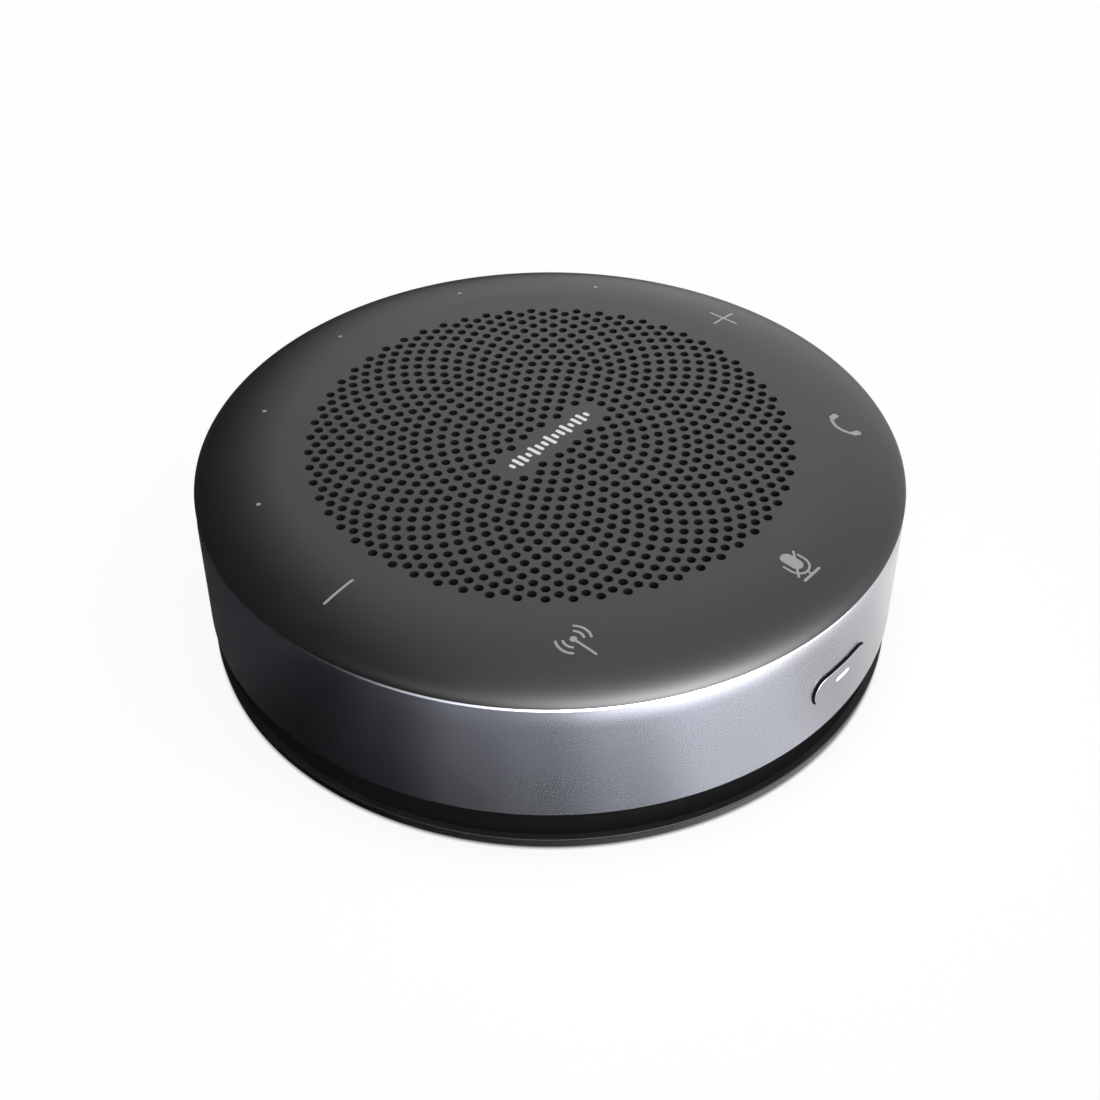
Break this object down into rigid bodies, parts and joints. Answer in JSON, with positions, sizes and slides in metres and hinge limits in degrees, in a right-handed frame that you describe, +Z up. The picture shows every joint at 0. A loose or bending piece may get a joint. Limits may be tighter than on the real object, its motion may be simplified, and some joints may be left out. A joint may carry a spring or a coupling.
{
  "type": "conference speakerphone",
  "caption": "Low round table speakerphone: drilled speaker grille in a rolled-edge cover with touch marks, metal side band with a power button, recessed base on a rubber ring.",
  "frame": {"origin": "centre of the foot ring on the table plane, on the axis of the round body", "axes": "+Z up along the body's axis, the power button is at -Y (front) and the connectors at +Y (rear), +X is the volume-up side"},
  "size_m": [0.1304, 0.1309, 0.038],
  "materials": {
    "cover_plastic": "fine satin moulded plastic, dark grey",
    "band_metal": "fine blasted, clear anodised",
    "shell_black": "fine textured black plastic",
    "rubber_black": "matte",
    "mark_grey": "translucent light grey",
    "mark_white": "white fill",
    "light_pipe": "milky, clear gloss face",
    "mesh_black": "woven acoustic cloth",
    "board_green": "solder mask over glass-fibre laminate",
    "led_body": "encapsulated light",
    "mic_can": "plated microphone can",
    "silicone": "soft silicone",
    "chamber_plastic": "glass-filled plastic",
    "foam": "closed-cell foam",
    "basket_steel": "black electro-coated steel",
    "cone_paper": "black treated paper pulp",
    "former": "kraft former",
    "copper_wire": "enamelled copper winding",
    "spider_cloth": "phenolic-treated cloth",
    "plated_steel": "zinc plated",
    "magnet": "nickel plated magnet",
    "terminal": "phenolic strip with tinned pins",
    "shield": "tinned shield",
    "chip_black": "moulded chip package",
    "connector_nylon": "natural nylon",
    "port_steel": "nickel plated shell",
    "jack_black": "moulded plastic",
    "switch_cream": "moulded plastic",
    "cell_foil": "laminated foil pouch",
    "lead_red": "insulated wire",
    "ribbon": "flat flexible cable",
    "screw_steel": "zinc plated"
  },
  "bodies": {
    "housing": {"top_cover": "cover_plastic", "speaker_grille": "cover_plastic", "side_band": "band_metal", "base_shell": "shell_black", "bottom_plate": "shell_black", "foot_ring": "rubber_black", "power_button_led": "led_body", "power_switch": "chip_black", "plus_light_guide": "mark_grey", "call_light_guide": "mark_grey", "mute_light_guide": "mark_grey", "wireless_light_guide": "mark_grey", "minus_light_guide": "mark_grey", "status_light_guides": "mark_grey", "sound_wave_inlay": "mark_white", "acoustic_mesh": "mesh_black", "touch_board": "board_green", "touch_board_leds": "led_body", "microphones": "mic_can", "microphone_boots": "silicone", "speaker_chamber": "chamber_plastic", "chamber_gasket": "foam", "speaker_basket": "basket_steel", "speaker_yoke": "plated_steel", "speaker_magnet": "magnet", "speaker_pole_plate": "plated_steel", "speaker_terminals": "terminal", "main_board": "board_green", "shield_can": "shield", "processor_chip": "chip_black", "amplifier_chip": "chip_black", "power_inductors": "chip_black", "board_connectors": "connector_nylon", "usb_c_port": "port_steel", "aux_jack": "jack_black", "battery_cell": "cell_foil", "battery_pad": "foam", "battery_board": "board_green", "battery_lead": "lead_red", "speaker_lead": "lead_red", "ribbon_cable": "ribbon", "cover_screws": "screw_steel", "bottom_screws": "screw_steel", "chamber_screws": "screw_steel", "touch_board_screws": "screw_steel", "board_screws": "screw_steel", "speaker_screws": "screw_steel"},
    "power_button": {"power_button": "band_metal", "power_button_light": "light_pipe"},
    "switch_plunger": {"switch_plunger": "switch_cream"},
    "speaker_cone": {"speaker_cone": "cone_paper", "speaker_dust_cap": "cone_paper", "voice_coil_former": "former", "voice_coil_winding": "copper_wire", "speaker_surround": "silicone", "speaker_spider": "spider_cloth"}
  },
  "joints": [
    {"name": "power_button_press", "type": "slide", "parent": "housing", "child": "power_button", "axis": [0, 1, 0], "range_m": [0, 0.00035], "stiffness_N_per_m": 1500},
    {"name": "switch_plunger_press", "type": "slide", "parent": "housing", "child": "switch_plunger", "axis": [0, 1, 0], "range_m": [0, 0.00035]},
    {"name": "speaker_cone_travel", "type": "slide", "parent": "housing", "child": "speaker_cone", "axis": [0, 0, 1], "range_m": [-0.0012, 0.0012], "stiffness_N_per_m": 1200, "deforming": ["speaker_surround", "speaker_spider"]}
  ],
  "couplings": [
    {"joint": "switch_plunger_press", "follows": "power_button_press", "ratio": 1}
  ]
}
